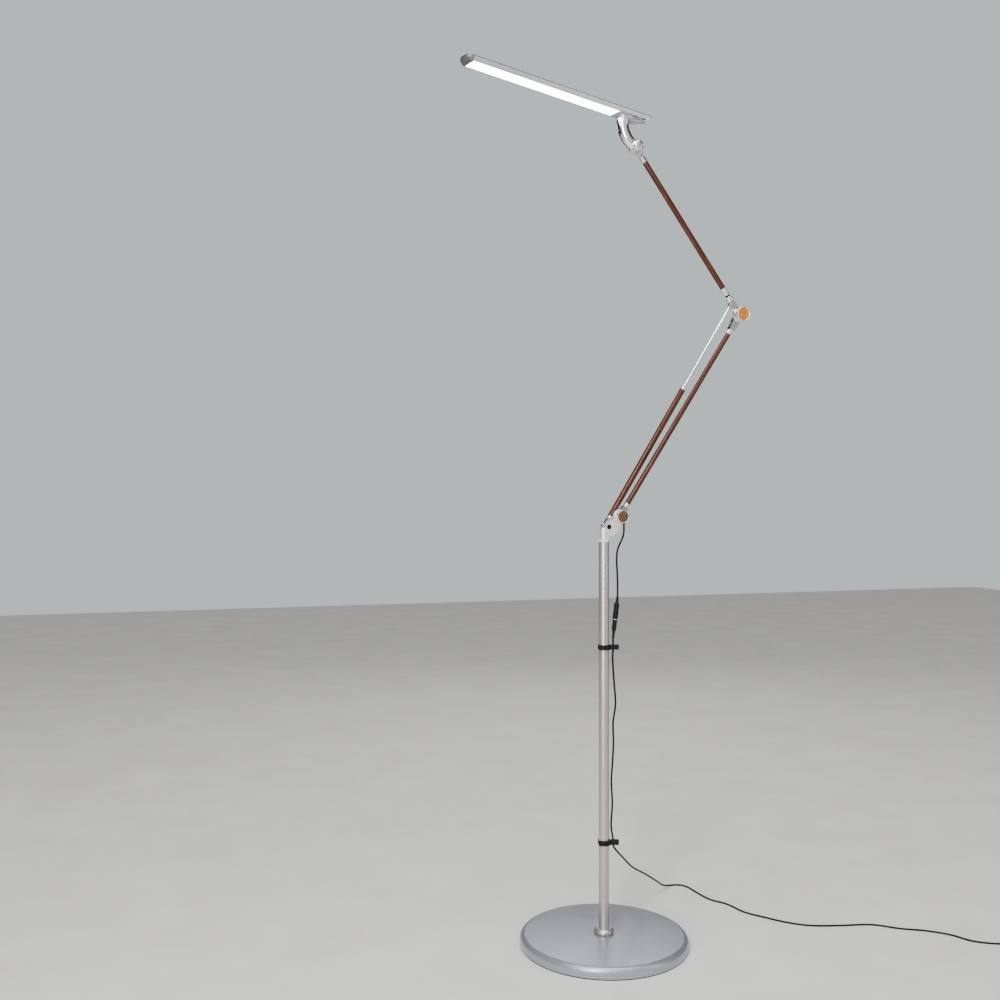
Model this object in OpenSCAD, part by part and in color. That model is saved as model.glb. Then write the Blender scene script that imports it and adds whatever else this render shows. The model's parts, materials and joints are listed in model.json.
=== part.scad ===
// Adjustable arm floor lamp: weighted base, pole, two jointed arms with a telescopic strut, slim light head.
// Origin: centre of the base's underside. +Z up. The arms move in the XZ plane; the head is towards -X.

/* [Base] */
// Diameter of the round base
base_d = 280; // [240:5:320]
// Height of the base
base_h = 20; // [18:1:26]
// Radius of the base's rounded rim
base_rim_r = 11; // [8:1:14]

/* [Pole] */
// Outer diameter of the pole
pole_d = 17; // [16:0.5:20]
// Height of the pole's top end
pole_top = 672; // [600:2:720]
// Outer diameter of the collar at the pole's foot
collar_d = 33; // [30:1:44]
// Height of the upper cable clip
upper_clip_z = 496; // [420:1:500]
// Height of the lower cable clip
lower_clip_z = 171; // [168:1:176]

/* [Arms] */
// Length of the lower arm, pivot to pivot
lower_arm_len = 416.2; // [380:0.2:460]
// Lean of the lower arm from the vertical, towards +X
lower_arm_lean = 33; // [20:0.5:45]
// Length of the upper arm, pivot to pivot
upper_arm_len = 336.6; // [300:0.2:380]
// Lean of the upper arm from the vertical, towards -X
upper_arm_lean = 36; // [20:0.5:60]
// Outer diameter of the lower arm's tube
lower_tube_d = 9; // [8.8:0.1:9.2]
// Outer diameter of the upper arm's tube
upper_tube_d = 9.5; // [9.2:0.1:9.8]
// Diameter of the lower arm's friction knob
lower_knob_d = 22; // [20:0.5:24]
// Diameter of the elbow's friction knob
elbow_knob_d = 24.6; // [20:0.2:26]

/* [Strut] */
// Distance of the strut's plane behind the arms' plane
strut_y = 11.5; // [11.5:0.1:12.5]
// Outer diameter of the strut's tube
strut_tube_d = 10; // [9.6:0.1:10.2]
// Diameter of the strut's rod
strut_rod_d = 4.5; // [4:0.1:4.8]
// Distance of the tube's mouth from the strut's foot pivot
strut_mouth = 280; // [276:1:300]

/* [Head] */
// Length of the head from its swivel axis to its tip
head_front = 311; // [280:1:340]
// Length of the head from its swivel axis to its arm end
head_rear = 49; // [46:1:60]
// Width of the head
head_w = 34; // [34:0.5:40]
// Tilt of the head, tip up
head_pitch = 5.5; // [0:0.5:15]
// Turn of the head about its swivel axis
head_turn = 13; // [-30:1:30]
// Width of the lit diffuser
diffuser_w = 26; // [22:0.5:27]

/* [Lead] */
// Diameter of the low-voltage lead
lead_d = 3.2; // [3:0.1:3.4]

/* [Hidden] */
$fn = 64;
eps = 0.01;

// Colours
pole_colour = [0.72, 0.70, 0.68];
base_colour = [0.66, 0.68, 0.72];
chrome_colour = [0.86, 0.87, 0.9];
brown_colour = [0.42, 0.22, 0.14];
copper_colour = [0.76, 0.46, 0.2];
bronze_colour = [0.36, 0.24, 0.14];
black_colour = [0.06, 0.06, 0.07];
steel_colour = [0.6, 0.6, 0.62];
dark_colour = [0.27, 0.28, 0.28];

// Base: the cover stands on the pad and is filled by the weight
pad_h = 2;
cover_wall = 1.5;
weight_r = 130;
weight_step_r = 122;
weight_step_z = 15;
nut_well_r = 14;
nut_well_top = 11.5;
stud_r = 5;

// Pole
pole_r = pole_d / 2;
pole_bore_r = pole_r - 1.5;
collar_h = 9;
bush_flange_h = 2.4;
bush_len = 32;
spigot_r = 5;
running_gap = 0.05;

// Pivots, as [x, z] in the arms' plane
lower_pivot = [28.9, pole_top + 41.5];
elbow_pivot = lower_pivot + lower_arm_len * [sin(lower_arm_lean), cos(lower_arm_lean)];
neck_pivot = elbow_pivot + upper_arm_len * [-sin(upper_arm_lean), cos(upper_arm_lean)];
strut_foot_pivot = [6.4, pole_top + 24.3];
// Place of the strut's top pivot on the upper arm, across it and along it
strut_top_across = 3.8;
strut_top_along = 22;
strut_top_pivot = elbow_pivot
    + strut_top_across * [cos(upper_arm_lean), sin(upper_arm_lean)]
    + strut_top_along * [-sin(upper_arm_lean), cos(upper_arm_lean)];
strut_vector = strut_top_pivot - strut_foot_pivot;
strut_len = norm(strut_vector);
strut_pin_r = 1.6;
foot_screw_r = 1.8;
strut_boss_r = 3.5;
strut_lean = atan2(strut_vector.x, strut_vector.y);
// Top of the neck, where the head's swivel axis leaves it
neck_top = neck_pivot + [-22.3, 43.5];

// Pivot joints: tongue, two fork cheeks, bolt and knob, by their distance from the arms' plane
tongue_y = 2.8;
cheek_in = 3.2;
cheek_out = 6;
cheek_r = 9;
bolt_r = 3;
bolt_head_r = 5;
bolt_end = 13;
knob_back = 7.4;
knob_front = 15;
inlay_rim = 1.5;
inlay_depth = 1.1;

// Bracket
bracket_front = 8;
bracket_back = 4.7;
bracket_foot = pole_top + bush_flange_h + 0.3;
bracket_neck_r = 6.2;
bracket_neck_top = pole_top + 22.5;
bracket_belly = [10.5, pole_top + 21.5];
bracket_belly_r = 11.5;
bracket_eye_r = 12;
bracket_link_r = 8.5;
bracket_foot_eye_r = 5.5;
stud_top_r = 3.5;
gland_x = 36.5;
gland_z = pole_top + 28.5;

// Where the tubes start and end, measured from the arm's own lower pivot
lower_tube_start = 25;
lower_tube_end = lower_arm_len - 41;
upper_tube_start = 55;
upper_tube_end = upper_arm_len - 29.6;
casting_end = 38;
ferrule_start = 41;

// Head levels, from the neck's top upwards
belly_gap = 0.4;
bezel_z = 6;
cover_z = 12.6;
head_top = 14;
frame_wall = 1.5;
window_start = -head_front + 13.5;
window_end = -18.6;
cap_end = -head_front + 12;
tip_corner_r = 13;
rear_corner_r = 6;

// In-line connector: its lower end, its upper end and the places of its steps from the lower end
connector_low = [14.4, -4.8, 510];
connector_high = [21.8, -7, 580];
plug_relief_len = 14;
plug_body_end = 31.9;
socket_start = 33;
socket_body_end = 59;

// Route of the lead from the bracket's gland to the connector
upper_route = [[gland_x, 0, gland_z - 1.3], [gland_x, 0, 694], [36, -1, 688], [34.5, -2, 682], [31.5, -3, 675],
    [28, -4, 669], [24.5, -5, 663], [22, -5.6, 656], [20.8, -6, 648], [20.4, -6.4, 640], [20.6, -6.7, 631],
    [21.2, -7, 621], [21.6, -7, 611], [21.8, -7, 600], [21.8, -7, 590], connector_high];
// Route of the lead from the connector down the pole, through both clips
pole_route = [connector_low, [14.6, -4.75, 501], [14.6, -4.75, 491], [14, -4.6, 475], [16, -5.2, 440],
    [18.5, -6, 402], [14.6, -4.8, 370], [15.3, -5, 338], [13.5, -4.4, 300], [11.8, -4, 272],
    [13.5, -4.4, 235], [11.4, -3.9, 200], [14.6, -4.75, 176], [14.6, -4.75, 166]];
// Route of the lead from the lower clip down to the floor and along it to the coil
floor_z = lead_d / 2;
floor_route = [[14.6, -4.75, 166], [24, 3, 154],
    [46, 24, 133], [80, 60, 102], [132, 118, 66], [176, 165, 34], [206, 196, 12], [230, 215, floor_z + 1],
    [248, 214, floor_z], [259, 199, floor_z], [262, 165, floor_z], [268, 127, floor_z], [286, 96, floor_z],
    [296, 52, floor_z], [318, 18, floor_z], [344, -16, floor_z], [376, -40, floor_z], [424, -55, floor_z],
    [476, -68, floor_z], [512, -98, floor_z], [548, -120, floor_z], [576, -148, floor_z],
    [592, -180, floor_z], [620, -201, floor_z], [650, -209, floor_z], [681, -212, floor_z]];
// The coil's centre, the mean radius of its turns, and the short tail from it to the adapter
coil_centre = [690, -231.8];
coil_r = 18;
tail_route = [[709.6, -243, 4.4], [709.6, -248, 4.8], [709.6, -253, 5]];
adapter_pos = [690, -338];
adapter_size = [40, 72, 28];
relief_len = 13;

// ---- Placing ----

module at_lower_arm() {
    translate([lower_pivot.x, 0, lower_pivot.y]) rotate([0, lower_arm_lean, 0]) children();
}

module at_upper_arm() {
    translate([elbow_pivot.x, 0, elbow_pivot.y]) rotate([0, -upper_arm_lean, 0]) children();
}

// The lower arm's own frame, moved to the elbow and looking back down the arm
module at_lower_arm_end() {
    at_lower_arm() translate([0, 0, lower_arm_len]) rotate([0, 180, 0]) children();
}

module at_upper_arm_end() {
    at_upper_arm() translate([0, 0, upper_arm_len]) rotate([0, 180, 0]) children();
}

module at_neck_pivot() {
    translate([neck_pivot.x, 0, neck_pivot.y]) children();
}

module at_strut() {
    translate([strut_foot_pivot.x, strut_y, strut_foot_pivot.y]) rotate([0, strut_lean, 0]) children();
}

module at_neck_top() {
    translate([neck_top.x, 0, neck_top.y]) rotate([0, head_pitch, 0]) children();
}

module at_head() {
    at_neck_top() rotate([0, 0, head_turn]) children();
}

// The connector's frame: Z runs up along it from its lower end
module at_connector() {
    along = connector_high - connector_low;
    translate(connector_low)
        rotate([0, acos(along.z / norm(along)), atan2(along.y, along.x)]) children();
}

// ---- Shared shapes ----

// Cylinder from z0 to z1
module rod(z0, z1, r) {
    translate([0, 0, z0]) cylinder(r = r, h = z1 - z0);
}

// Ring from z0 to z1
module ring(z0, z1, r_in, r_out) {
    difference() {
        rod(z0, z1, r_out);
        rod(z0 - eps, z1 + eps, r_in);
    }
}

// Turns a shape made along Z so that it lies along Y
module along_y() {
    rotate([-90, 0, 0]) children();
}

// Cylinder along Y from y0 to y1
module barrel(y0, y1, r) {
    along_y() rod(y0, y1, r);
}

// Ring along Y from y0 to y1
module washer(y0, y1, r_in, r_out) {
    along_y() ring(y0, y1, r_in, r_out);
}

// Extrudes an outline drawn in the arms' plane from y0 to y1
module plate(y0, y1) {
    translate([0, y1, 0]) rotate([90, 0, 0]) linear_extrude(y1 - y0) children();
}

// Two discs joined by their outer tangents
module tapered_link(p, p_r, q, q_r) {
    gap = q - p;
    turn = acos((p_r - q_r) / norm(gap));
    heading = atan2(gap.y, gap.x);
    left = [cos(heading + turn), sin(heading + turn)];
    right = [cos(heading - turn), sin(heading - turn)];
    translate(p) circle(p_r);
    translate(q) circle(q_r);
    polygon([p + p_r * right, q + q_r * right, q + q_r * left, p + p_r * left]);
}

// Lug with a round eye whose sides taper to a flat end
module tapered_lug(eye_r, len, end_r) {
    circle(eye_r);
    polygon([[-0.9 * eye_r, 0], [0.9 * eye_r, 0], [end_r, len], [-end_r, len]]);
}

// Fork that straddles a tongue; its shank ends in a spigot for the arm's tube
module arm_fork(shank, slot_end, tube_r) {
    spigot_len = 14;
    sleeve_len = 7;
    slot_w = 2 * cheek_in;
    difference() {
        union() {
            plate(-cheek_out, cheek_out) tapered_lug(cheek_r, shank - sleeve_len, tube_r - 0.2);
            rod(shank - sleeve_len - 2, shank, tube_r);
            rod(shank, shank + spigot_len, tube_r - 1);
        }
        translate([-2 * cheek_r, -cheek_in, -2 * cheek_r]) cube([4 * cheek_r, slot_w, 2 * cheek_r + slot_end]);
        barrel(-cheek_out - 1, cheek_out + 1, bolt_r);
        barrel(cheek_out - 1.8, cheek_out + 1, bolt_head_r);
    }
}

// Pivot bolt with a flush head in the far cheek
module pivot_bolt() {
    union() {
        barrel(-bolt_end, cheek_out - 1.8, bolt_r);
        barrel(cheek_out - 1.8, cheek_out, bolt_head_r);
    }
}

// Two thin friction washers beside the tongue and one steel washer behind the knob
module pivot_washers() {
    washer(-cheek_in, -tongue_y - 0.05, bolt_r + 0.2, cheek_r - 0.5);
    washer(tongue_y + 0.05, cheek_in, bolt_r + 0.2, cheek_r - 0.5);
    washer(-knob_back + 0.1, -cheek_out, bolt_r + 0.2, cheek_r - 1);
}

module friction_knob(d) {
    difference() {
        barrel(-knob_front, -knob_back, d / 2);
        barrel(-bolt_end - 0.4, -knob_back + 1, bolt_r + 0.06);
        barrel(-knob_front - 1, -knob_front + inlay_depth, d / 2 - inlay_rim);
    }
}

module knob_inlay(d) {
    barrel(-knob_front - 0.2, -knob_front + inlay_depth, d / 2 - inlay_rim);
}

// Points of a smooth curve through the route, with steps points on each stretch
function smooth_point(a, b, c, d, t) =
    0.5 * (2 * b + (c - a) * t + (2 * a - 5 * b + 4 * c - d) * t * t + (3 * b - 3 * c + d - a) * t * t * t);
function smooth_route(route, steps) = [
    for (i = [0 : len(route) - 2])
        let (before = route[max(i - 1, 0)], after = route[min(i + 2, len(route) - 1)])
            for (k = [0 : steps - 1]) smooth_point(before, route[i], route[i + 1], after, k / steps),
    route[len(route) - 1]
];

// Direction of the route at a point, and two directions across it
function heading_at(route, i) =
    let (gap = route[min(i + 1, len(route) - 1)] - route[max(i - 1, 0)]) gap / norm(gap);
function across(heading, side) = let (v = side - (side * heading) * heading) v / norm(v);

// Tube of a given radius and number of sides along a route; side is never parallel to the route
module swept_tube(route, r, sides, side) {
    rings = len(route);
    points = [
        for (i = [0 : rings - 1])
            let (heading = heading_at(route, i), u = across(heading, side), v = cross(heading, u))
                for (k = [0 : sides - 1]) route[i] + r * (cos(360 * k / sides) * u + sin(360 * k / sides) * v)
    ];
    walls = [
        for (i = [0 : rings - 2])
            for (k = [0 : sides - 1])
                let (a = i * sides + k, b = i * sides + (k + 1) % sides) for (face = [[a, a + sides, b + sides], [a, b + sides, b]]) face
    ];
    start = [for (k = [0 : sides - 1]) k];
    finish = [for (k = [0 : sides - 1]) rings * sides - 1 - k];
    polyhedron(points, concat(walls, [start, finish]), convexity = 10);
}

// ---- Stand ----

// Half section of the base, from the pad up, with its rounded rim
module base_section(r, top, rim) {
    translate([0, pad_h]) square([r, top - rim - pad_h]);
    translate([0, pad_h]) square([r - rim, top - pad_h]);
    intersection() {
        translate([r - rim, top - rim]) circle(rim);
        translate([0, pad_h]) square([r, top]);
    }
}

module base_cover() {
    color(base_colour) rotate_extrude() difference() {
        base_section(base_d / 2, base_h, base_rim_r);
        translate([0, -eps]) base_section(base_d / 2 - cover_wall, base_h - cover_wall, base_rim_r - cover_wall);
        square([stud_r + 0.5, base_h + 1]);
    }
}

module base_weight() {
    color(dark_colour) difference() {
        union() {
            rod(pad_h, weight_step_z, weight_r);
            rod(weight_step_z - 1, base_h - cover_wall - 0.1, weight_step_r);
        }
        rod(0, nut_well_top, nut_well_r);
        rod(0, base_h, stud_r + 0.5);
    }
}

module base_pad() {
    color(black_colour) rod(0, pad_h, base_d / 2 - 2);
}

module pole_stud() {
    color(steel_colour) {
        rod(3, base_h, stud_r);
        rod(base_h, base_h + 38, pole_bore_r);
    }
}

module pole_nut() {
    color(steel_colour) difference() {
        translate([0, 0, 4.5]) cylinder(r = 9.2, h = nut_well_top - 6, $fn = 6);
        rod(0, nut_well_top, stud_r);
    }
}

module pole_washer() {
    color(steel_colour) ring(nut_well_top - 1.5, nut_well_top, stud_r + 0.2, 12);
}

module pole_collar() {
    bead_r = collar_h / 2;
    color(chrome_colour) rotate_extrude() difference() {
        union() {
            translate([0, base_h]) square([collar_d / 2 - bead_r, collar_h]);
            translate([collar_d / 2 - bead_r, base_h + bead_r]) circle(bead_r);
        }
        translate([0, base_h - 1]) square([pole_r, collar_h + 2]);
    }
}

module pole_tube() {
    color(pole_colour) ring(base_h, pole_top, pole_bore_r, pole_r);
}

module pole_top_bush() {
    color("ivory") difference() {
        union() {
            rod(pole_top - bush_len, pole_top, pole_bore_r);
            rod(pole_top, pole_top + bush_flange_h, pole_r + 0.3);
        }
        rod(pole_top - bush_len - 1, pole_top + 5, spigot_r + running_gap);
    }
}

// Snap clip round the pole with an open finger that holds the lead
module cable_clip(z) {
    clip_h = 8;
    clip_r = pole_r + 2.7;
    finger_end = 25;
    finger_w = 6.4;
    lead_at = 15.35;
    color(black_colour) translate([0, 0, z - clip_h / 2]) rotate([0, 0, -18]) difference() {
        union() {
            cylinder(r = clip_r, h = clip_h);
            translate([0, -finger_w / 2, 0]) cube([finger_end, finger_w, clip_h]);
        }
        rod(-1, clip_h + 1, pole_r);
        translate([lead_at, 0, 0]) rod(-1, clip_h + 1, lead_d / 2 + 0.3);
        translate([lead_at, -1.1, -1]) cube([finger_end, 2.2, clip_h + 2]);
        translate([-finger_end, -pole_r * 0.7, -1]) cube([finger_end - 3, pole_r * 1.4, clip_h + 2]);
    }
}

module upper_cable_clip() {
    cable_clip(upper_clip_z);
}

module lower_cable_clip() {
    cable_clip(lower_clip_z);
}

// ---- Lead ----

module upper_lead() {
    color(black_colour) swept_tube(upper_route, lead_d / 2, 8, [0, 1, 0]);
}

module lower_lead() {
    color(black_colour) {
        swept_tube(pole_route, lead_d / 2, 8, [0, 1, 0]);
        swept_tube(smooth_route(floor_route, 2), lead_d / 2, 8, [0, 0.01, 1]);
        swept_tube(tail_route, lead_d / 2, 8, [0, 0.01, 1]);
    }
}

module lead_coil() {
    color(black_colour) translate([coil_centre.x, coil_centre.y, 0])
        ring(0, 2 * lead_d, coil_r - lead_d, coil_r + lead_d);
}

module lead_socket() {
    color(black_colour) at_connector() difference() {
        union() {
            rod(socket_start, socket_body_end, 4.4);
            translate([0, 0, socket_body_end]) cylinder(r1 = 2.8, r2 = 1.9, h = norm(connector_high
                - connector_low) - socket_body_end);
        }
        rod(socket_start - 1, socket_start + 12, 2.8);
    }
}

module lead_plug() {
    at_connector() {
        color(black_colour) cylinder(r1 = 1.9, r2 = 2.6, h = plug_relief_len);
        color(black_colour) rod(plug_relief_len, plug_body_end, 3.75);
        color(chrome_colour) rod(plug_body_end, socket_start + 10, 2.75);
    }
}

module power_adapter() {
    corner = 5;
    cord_x = tail_route[2].x;
    cord_z = tail_route[2].z;
    color(black_colour) {
        translate([adapter_pos.x, adapter_pos.y, 0]) linear_extrude(adapter_size.z) {
            translate([corner, 0]) square([adapter_size.x - 2 * corner, adapter_size.y]);
            translate([0, corner]) square([adapter_size.x, adapter_size.y - 2 * corner]);
            for (x = [corner, adapter_size.x - corner], y = [corner, adapter_size.y - corner])
                translate([x, y]) circle(corner);
        }
        translate([cord_x, adapter_pos.y + adapter_size.y - 0.5, cord_z])
            along_y() cylinder(r1 = 3.4, r2 = 2, h = relief_len + 0.5);
    }
}

module adapter_pins() {
    pin_len = 17;
    color(chrome_colour) for (y = [-6.35, 6.35])
        translate([adapter_pos.x + adapter_size.x, adapter_pos.y + adapter_size.y / 2 + y - 0.75, 11])
            cube([pin_len, 1.5, 6.3]);
}

// ---- Bracket ----

module bracket_outline() {
    tapered_link(lower_pivot, bracket_link_r, strut_foot_pivot, bracket_foot_eye_r);
    tapered_link(bracket_belly, bracket_belly_r, lower_pivot, bracket_link_r);
    translate(lower_pivot) circle(bracket_eye_r);
    translate([-1.6, bracket_foot]) square([7.6, bracket_belly.y - bracket_foot]);
}

module bracket_casting() {
    relief_r = 12.9;
    color(chrome_colour) difference() {
        union() {
            plate(-bracket_front, bracket_back) bracket_outline();
            rod(bracket_foot, bracket_neck_top, bracket_neck_r);
            at_foot_pivot() barrel(bracket_back - 1, strut_y - 3.1, bracket_foot_eye_r);
        }
        translate([lower_pivot.x, 0, lower_pivot.y]) {
            barrel(-bracket_front - 1, -tongue_y, relief_r);
            barrel(tongue_y, bracket_back + 1, relief_r);
            barrel(-bracket_front, bracket_back, bolt_r + running_gap);
        }
        at_foot_pivot() {
            barrel(-bracket_front - 1, -5, 4.2);
            barrel(-bracket_front, strut_y, 2.5);
        }
        rod(bracket_foot - 1, bracket_foot + 12, stud_top_r);
        translate([gland_x, 0, 0]) rod(gland_z, gland_z + 9, 2);
    }
}

module at_foot_pivot() {
    translate([strut_foot_pivot.x, 0, strut_foot_pivot.y]) children();
}

module bracket_spigot() {
    color(steel_colour) {
        rod(pole_top - bush_len + 3, bracket_foot, spigot_r);
        rod(bracket_foot, bracket_foot + 11.5, stud_top_r);
    }
}

// Screw that the strut's foot turns on, with its head sunk in the bracket
module strut_foot_screw() {
    color(dark_colour) at_foot_pivot() difference() {
        union() {
            barrel(-5, strut_y - 3.3, 2.5);
            barrel(-5, strut_y + 1.8, foot_screw_r);
            barrel(-7.2, -5, 3.9);
        }
        translate([0, -5.6, 0]) rotate([90, 0, 0]) cylinder(r = 2.3, h = 3, $fn = 6);
    }
}

module lead_gland() {
    color(black_colour) translate([gland_x, 0, 0]) {
        rod(gland_z + 3, gland_z + 9, 2);
        translate([0, 0, gland_z - 1]) cylinder(r1 = 1.9, r2 = 2.5, h = 4);
    }
}

// ---- Lower arm ----

module lower_arm_tube() {
    color(brown_colour) at_lower_arm()
        ring(lower_tube_start, lower_tube_end, lower_tube_d / 2 - 1, lower_tube_d / 2);
}

module lower_arm_bottom_fork() {
    color(chrome_colour) at_lower_arm() arm_fork(lower_tube_start, 14.2, lower_tube_d / 2);
}

module lower_arm_top_fork() {
    color(chrome_colour) at_lower_arm_end()
        arm_fork(lower_arm_len - lower_tube_end, 29, lower_tube_d / 2);
}

module lower_pivot_bolt() {
    color(steel_colour) at_lower_arm() pivot_bolt();
}

module lower_pivot_washers() {
    color("white") at_lower_arm() pivot_washers();
}

module elbow_bolt() {
    color(steel_colour) at_lower_arm_end() pivot_bolt();
}

module elbow_washers() {
    color("white") at_lower_arm_end() pivot_washers();
}

module lower_arm_lead() {
    color(black_colour) at_lower_arm() rod(lower_tube_start + 14.5, lower_tube_end - 14.5, 1.6);
}

module lower_knob() {
    color(chrome_colour) at_lower_arm() friction_knob(lower_knob_d);
}

module lower_knob_inlay() {
    color(bronze_colour) at_lower_arm() knob_inlay(lower_knob_d);
}

module elbow_knob() {
    color(chrome_colour) at_lower_arm_end() friction_knob(elbow_knob_d);
}

module elbow_knob_inlay() {
    color(copper_colour) at_lower_arm_end() knob_inlay(elbow_knob_d);
}

// ---- Upper arm ----

module elbow_casting() {
    color(chrome_colour) at_upper_arm() difference() {
        union() {
            plate(-tongue_y, tongue_y) tapered_lug(cheek_r, casting_end - 8, 4.2);
            rod(casting_end - 9, casting_end, 6.2);
            rod(casting_end, upper_tube_start + 12, upper_tube_d / 2 - 1);
            translate([strut_top_across, 0, strut_top_along]) barrel(-tongue_y, strut_y - 2.8, strut_boss_r);
        }
        barrel(-5, 5, bolt_r + running_gap);
        translate([strut_top_across, 0, strut_top_along]) barrel(-1, strut_y, strut_pin_r + running_gap);
    }
}

module upper_arm_ferrule() {
    color(chrome_colour) at_upper_arm() ring(ferrule_start, upper_tube_start, upper_tube_d / 2 - 1, 4.4);
}

module upper_arm_tube() {
    color(brown_colour) at_upper_arm()
        ring(upper_tube_start, upper_tube_end, upper_tube_d / 2 - 1, upper_tube_d / 2);
}

module upper_arm_tongue() {
    shank = upper_arm_len - upper_tube_end;
    tube_r = upper_tube_d / 2;
    color(chrome_colour) at_upper_arm_end() difference() {
        union() {
            plate(-tongue_y, tongue_y) tapered_lug(8, shank - 7, tube_r - 0.4);
            rod(shank - 9, shank, tube_r);
            rod(shank, shank + 14, tube_r - 1);
        }
        barrel(-5, 5, bolt_r + running_gap);
    }
}

module upper_arm_lead() {
    color(black_colour) at_upper_arm() rod(upper_tube_start + 12.5, upper_tube_end - 14.5, 1.6);
}

// ---- Strut ----

// Pin of the strut's eye; it stops just short of its bore in the elbow casting, as the strut is held at its foot
module strut_pin() {
    color(steel_colour) at_strut() translate([0, 0, strut_len]) {
        barrel(-2.4, 2.5, strut_pin_r);
        barrel(2.5, 4.2, 3.6);
    }
}

module strut_rod() {
    stop_z = strut_mouth - 122;
    color(chrome_colour) at_strut() difference() {
        union() {
            rod(stop_z, strut_len - 3, strut_rod_d / 2);
            rod(stop_z, stop_z + 8, strut_tube_d / 2 - 1.3);
            translate([0, 0, strut_len]) barrel(-2.5, 2.5, 5);
        }
        translate([0, 0, strut_len]) barrel(-3, 3, strut_pin_r);
    }
}

module strut_guide_ring() {
    ring_z = strut_mouth - 75;
    color(steel_colour) at_strut()
        ring(ring_z, ring_z + 10, strut_rod_d / 2 + running_gap, strut_tube_d / 2 - 1.05);
}

module strut_tube() {
    color(brown_colour) at_strut() ring(19.5, strut_mouth - 5, strut_tube_d / 2 - 1, strut_tube_d / 2);
}

module strut_cap() {
    color(chrome_colour) at_strut() difference() {
        union() {
            rod(strut_mouth - 5, strut_mouth, strut_tube_d / 2 + 0.5);
            rod(strut_mouth - 18, strut_mouth - 5, strut_tube_d / 2 - 1);
        }
        rod(strut_mouth - 20, strut_mouth + 1, strut_rod_d / 2 + running_gap);
    }
}

module strut_foot() {
    color(chrome_colour) at_strut() difference() {
        union() {
            plate(-2.5, 2.5) tapered_lug(6, 17.5, 4);
            rod(16.5, 19.5, strut_tube_d / 2);
            rod(19.5, 34, strut_tube_d / 2 - 1);
            barrel(2.5, 4.5, 4.2);
        }
        barrel(-3, 2.2, foot_screw_r + running_gap);
    }
}

// Buffer spring that rests on the foot's plug inside the tube
module strut_spring() {
    turns = 9;
    steps = 10;
    pitch = 7;
    wire_r = 0.5;
    coil_mid_r = strut_tube_d / 2 - 1.7;
    color(steel_colour) at_strut() translate([0, 0, 34 + wire_r]) swept_tube([
        for (i = [0 : turns * steps])
            let (turn = i / steps) [coil_mid_r * cos(360 * turn), coil_mid_r * sin(360 * turn), pitch * turn]
    ], wire_r, 5, [0.01, 0, 1]);
}

// ---- Neck ----

neck_r = 10;
neck_straight = 4;
// The bend starts below the neck's top and ends at the neck's pivot
bend_start = neck_top - neck_straight * [sin(head_pitch), cos(head_pitch)];
bend_chord = neck_pivot - bend_start;
bend_angle = 2 * (atan2(bend_chord.x, -bend_chord.y) + head_pitch);
bend_r = norm(bend_chord) / (2 * sin(bend_angle / 2));
bend_centre = bend_start + bend_r * [cos(head_pitch), -sin(head_pitch)];

// Sweeps a section round the neck's bend, from its upper end
module neck_sweep(angle) {
    translate([bend_centre.x, 0, bend_centre.y]) rotate([90, 0, 0])
        rotate([0, 0, 180 - head_pitch]) rotate_extrude(angle = angle) children();
}

module neck_casting() {
    color(chrome_colour) difference() {
        union() {
            at_neck_top() rod(-neck_straight - 1.5, 0, neck_r + 0.4);
            neck_sweep(bend_angle) translate([bend_r, 0]) circle(neck_r);
            at_neck_pivot() barrel(-9, 9, 9.6);
        }
        neck_sweep(bend_angle) translate([bend_r + neck_r - 3, -1.3]) square([4, 2.6]);
        at_neck_pivot() {
            barrel(-3.2, 3.2, 12.5);
            barrel(-12, 12, bolt_r);
            barrel(7.2, 12, bolt_head_r);
            barrel(-12, -9, 12);
        }
        at_neck_top() rod(-16, 1, 5 + running_gap);
    }
}

module neck_bolt() {
    color(steel_colour) at_neck_pivot() {
        barrel(-14, 7.2, bolt_r);
        barrel(7.2, 9, bolt_head_r);
    }
}

module neck_knob() {
    skirt = 12.2;
    dome_h = 4.4;
    knob_r = 8.9;
    dome_foot_r = knob_r - 0.3;
    dome_r = (dome_foot_r * dome_foot_r + dome_h * dome_h) / (2 * dome_h);
    color(chrome_colour) at_neck_pivot() difference() {
        union() {
            barrel(-skirt, -9.3, knob_r);
            intersection() {
                barrel(-skirt - dome_h - 1, -skirt + 0.2, knob_r);
                translate([0, -skirt - dome_h + dome_r, 0]) sphere(dome_r);
            }
        }
        barrel(-14.3, -9, bolt_r + 0.06);
    }
}

module neck_collar() {
    color(chrome_colour) at_neck_top() ring(-8.5, -0.6, neck_r + 0.4, 11.6);
}

// ---- Head ----

// Plan outline of the head with two large corners at its tip
module head_outline() {
    half = head_w / 2;
    tip = tip_corner_r;
    rear = rear_corner_r;
    translate([-head_front + tip, -half]) square([head_front + head_rear - tip - rear, head_w]);
    translate([-head_front, -half + tip]) square([tip, head_w - 2 * tip]);
    translate([head_rear - rear, -half + rear]) square([rear, head_w - 2 * rear]);
    for (side = [-1, 1]) {
        translate([-head_front + tip, side * (half - tip)]) circle(tip);
        translate([head_rear - rear, side * (half - rear)]) circle(rear);
    }
}

// Keeps the part of the outline between two places along the head
module between(x0, x1) {
    intersection() {
        children();
        translate([x0, -head_w]) square([x1 - x0, 2 * head_w]);
    }
}

module window(grow) {
    translate([window_start - grow, -diffuser_w / 2 - grow])
        square([window_end - window_start + 2 * grow, diffuser_w + 2 * grow]);
}

module slab(z0, z1) {
    translate([0, 0, z0]) linear_extrude(z1 - z0) children();
}

// Plan outline of a touch key
module key_outline(grow) {
    for (x = [-1.3, 1.3]) translate([x, 0]) circle(1.3 + grow);
    translate([-1.3, -1.3 - grow]) square([2.6, 2.6 + 2 * grow]);
}

power_key_x = 15;
brightness_key_x = 33;
key_y = -14;
rear_slope_len = 12;

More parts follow.
